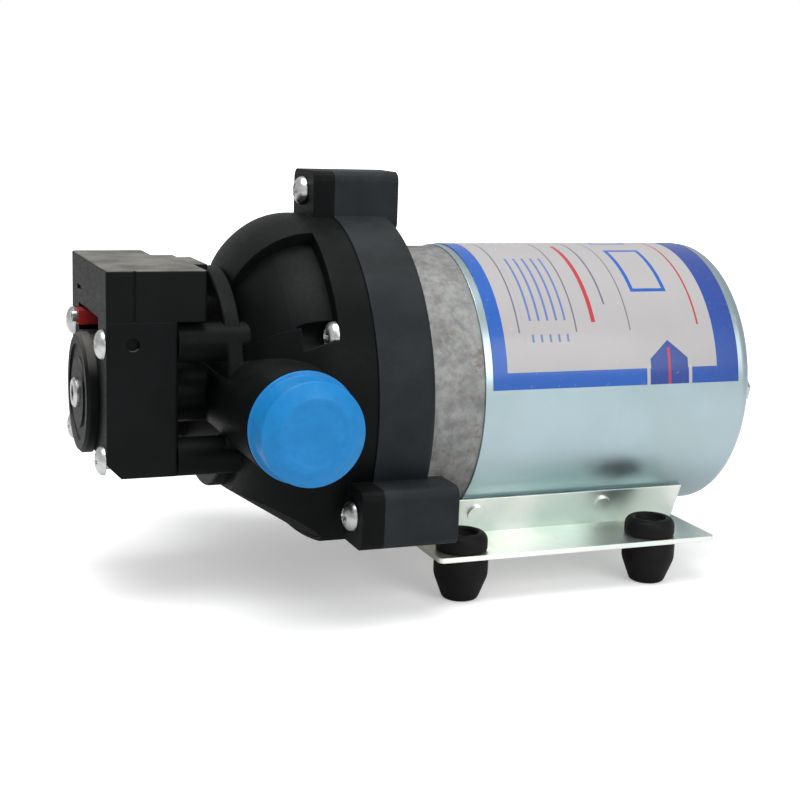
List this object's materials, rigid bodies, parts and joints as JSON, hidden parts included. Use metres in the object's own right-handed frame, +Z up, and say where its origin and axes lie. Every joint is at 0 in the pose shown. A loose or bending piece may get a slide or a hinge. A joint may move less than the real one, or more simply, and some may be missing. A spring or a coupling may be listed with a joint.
{
  "type": "water_pump",
  "caption": "Twelve-volt diaphragm water pump for a caravan: dark head with two capped ports and a pressure switch, zinc motor can, and a base plate on four rubber feet.",
  "frame": {"origin": "centre of the four feet, on the floor", "axes": "+X along the pump from the switch to the motor, +Y to the far port, +Z up"},
  "size_m": [0.1646, 0.1148, 0.0988],
  "materials": {
    "zinc": "bright zinc plate, pale blue with a faint green and yellow tint",
    "black_rubber": "moulded rubber, satin",
    "label_film": "printed film with a blue border and plain lines",
    "cast_alloy": "rough casting, mottled grey",
    "screw_steel": "plated steel",
    "ferrite": "pressed powder, matt",
    "core_steel": "machined steel",
    "copper": "enamelled copper",
    "bronze": "plain brass",
    "bearing_steel": "polished",
    "black_plastic": "moulded glass-filled plastic, satin",
    "white_plastic": "moulded plastic",
    "blue_plastic": "soft polythene, satin",
    "red_plastic": "vinyl sleeve"
  },
  "bodies": {
    "pump": {"base_plate": "zinc", "motor_cradle": "zinc", "rubber_feet": "black_rubber", "motor_can": "zinc", "label": "label_film", "motor_front_bell": "cast_alloy", "tie_bolts": "screw_steel", "magnets": "ferrite", "rear_bush": "bronze", "front_bearing_outer": "bearing_steel", "front_bearing_balls": "bearing_steel", "brush_card": "black_plastic", "brushes": "ferrite", "brush_springs": "screw_steel", "drive_housing": "black_plastic", "motor_screws": "screw_steel", "pump_diaphragm": "black_rubber", "valve_plate": "white_plastic", "inlet_valves": "black_rubber", "outlet_valve": "black_rubber", "head_seal": "black_rubber", "pump_head": "black_plastic", "head_screws": "screw_steel", "switch_body": "black_plastic", "switch_cover": "black_plastic", "switch_cap": "black_plastic", "switch_diaphragm": "black_rubber", "switch_screws": "screw_steel", "switch_spring": "screw_steel", "microswitch": "black_plastic", "terminal_blades": "bronze", "push_on_terminal": "screw_steel", "terminal_sleeve": "red_plastic"},
    "rotor": {"motor_shaft": "core_steel", "armature_core": "core_steel", "windings": "copper", "commutator": "copper", "cam_hub": "cast_alloy", "cam_set_screw": "screw_steel", "front_bearing_inner": "bearing_steel", "wobble_bearing_inner": "bearing_steel"},
    "wobble": {"wobble_plate": "cast_alloy", "wobble_bearing_outer": "bearing_steel", "wobble_bearing_balls": "bearing_steel", "pistons": "white_plastic", "piston_screws": "screw_steel"},
    "plunger": {"switch_plunger": "white_plastic"},
    "button": {"microswitch_button": "white_plastic"},
    "cup": {"spring_cup": "white_plastic"},
    "adjuster": {"adjusting_screw": "screw_steel"},
    "near_cap": {"port_cap_near": "blue_plastic"},
    "far_cap": {"port_cap_far": "blue_plastic"}
  },
  "joints": [
    {"name": "shaft_spin", "type": "hinge", "parent": "pump", "child": "rotor", "pos_m": [0, 0, 0.04695], "axis": [1, 0, 0], "continuous": true, "deforming": ["pump_diaphragm"]},
    {"name": "wobble_spin", "type": "hinge", "parent": "rotor", "child": "wobble", "pos_m": [-0.0522, 0, 0.04695], "axis": [0.999, 0, 0.0436], "continuous": true},
    {"name": "plunger_slide", "type": "slide", "parent": "pump", "child": "plunger", "axis": [-1, 0, 0], "range_m": [0, 0.001], "stiffness_N_per_m": 2000, "deforming": ["switch_spring", "switch_diaphragm"]},
    {"name": "button_slide", "type": "slide", "parent": "pump", "child": "button", "axis": [-1, 0, 0], "range_m": [0, 0.001]},
    {"name": "screw_turn", "type": "hinge", "parent": "cup", "child": "adjuster", "pos_m": [-0.1083, 0, 0.04695], "axis": [1, 0, 0], "range_deg": [0, 1080]},
    {"name": "cup_slide", "type": "slide", "parent": "pump", "child": "cup", "axis": [1, 0, 0], "range_m": [0, 0.0024]},
    {"name": "near_cap_slide", "type": "slide", "parent": "pump", "child": "near_cap", "axis": [0, -1, 0], "range_m": [0, 0.015]},
    {"name": "far_cap_slide", "type": "slide", "parent": "pump", "child": "far_cap", "axis": [0, 1, 0], "range_m": [0, 0.015]}
  ],
  "couplings": [
    {"joint": "wobble_spin", "follows": "shaft_spin", "ratio": -1},
    {"joint": "button_slide", "follows": "plunger_slide", "ratio": 1},
    {"joint": "screw_turn", "follows": "cup_slide", "rad_per_m": 7854}
  ]
}
